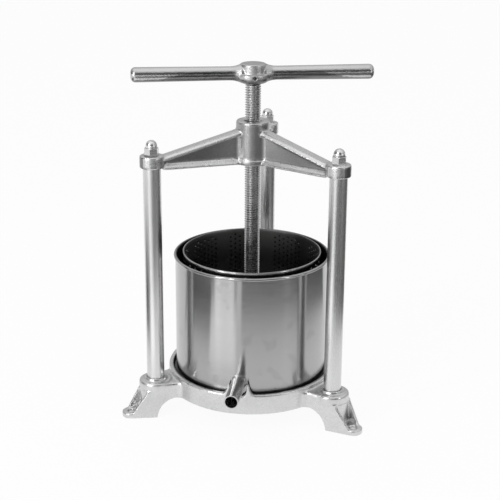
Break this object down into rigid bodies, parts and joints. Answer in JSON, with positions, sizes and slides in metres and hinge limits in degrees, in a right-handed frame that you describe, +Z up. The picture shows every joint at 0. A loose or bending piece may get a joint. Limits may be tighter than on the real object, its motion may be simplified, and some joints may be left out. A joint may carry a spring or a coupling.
{
  "type": "fruit press",
  "caption": "Small tabletop fruit press: a cast base with columns and a crosspiece carries a hand-turned screw that drives a plate into a perforated basket in a tank with a spout.",
  "frame": {"origin": "on the bench under the screw's axis, at the centre of the bench bolt circle", "axes": "+Z up along the screw, +Y towards the rear column, -Y along the spout"},
  "size_m": [0.252, 0.272, 0.364],
  "materials": {
    "cast_alloy": "satin cast",
    "column_steel": "polished tube",
    "tank_steel": "polished sheet",
    "basket_steel": "perforated",
    "screw_steel": "turned",
    "handle_alloy": "polished",
    "fastener_steel": "plated",
    "bearing_brass": "turned"
  },
  "bodies": {
    "frame": {"base_casting": "cast_alloy", "column_left": "column_steel", "column_right": "column_steel", "column_rear": "column_steel", "tie_rod_left": "fastener_steel", "tie_rod_right": "fastener_steel", "tie_rod_rear": "fastener_steel", "dome_nuts": "fastener_steel", "base_washers": "fastener_steel", "base_nuts": "fastener_steel", "crosspiece": "cast_alloy"},
    "tank": {"tank": "tank_steel", "spout": "tank_steel", "drain_plate": "basket_steel"},
    "basket": {"basket": "basket_steel"},
    "plate": {"press_plate": "cast_alloy", "thrust_washer": "bearing_brass"},
    "screw": {"screw": "screw_steel", "handle": "handle_alloy", "handle_pin": "fastener_steel", "retaining_washer": "fastener_steel", "retaining_screw": "fastener_steel"}
  },
  "joints": [
    {"name": "screw_feed", "type": "slide", "parent": "frame", "child": "plate", "axis": [0, 0, 1], "range_m": [-0.03601, 0.10001]},
    {"name": "screw_turn", "type": "hinge", "parent": "plate", "child": "screw", "pos_m": [0, 0, 0.2], "axis": [0, 0, 1], "range_deg": [-5184, 14400]},
    {"name": "tank_lift", "type": "slide", "parent": "frame", "child": "tank", "axis": [0, 0, 1], "range_m": [0, 0.018]},
    {"name": "basket_lift", "type": "slide", "parent": "tank", "child": "basket", "axis": [0, 0, 1], "range_m": [0, 0.07]}
  ],
  "couplings": [
    {"joint": "screw_feed", "follows": "screw_turn", "m_per_rad": 0.00039789}
  ]
}
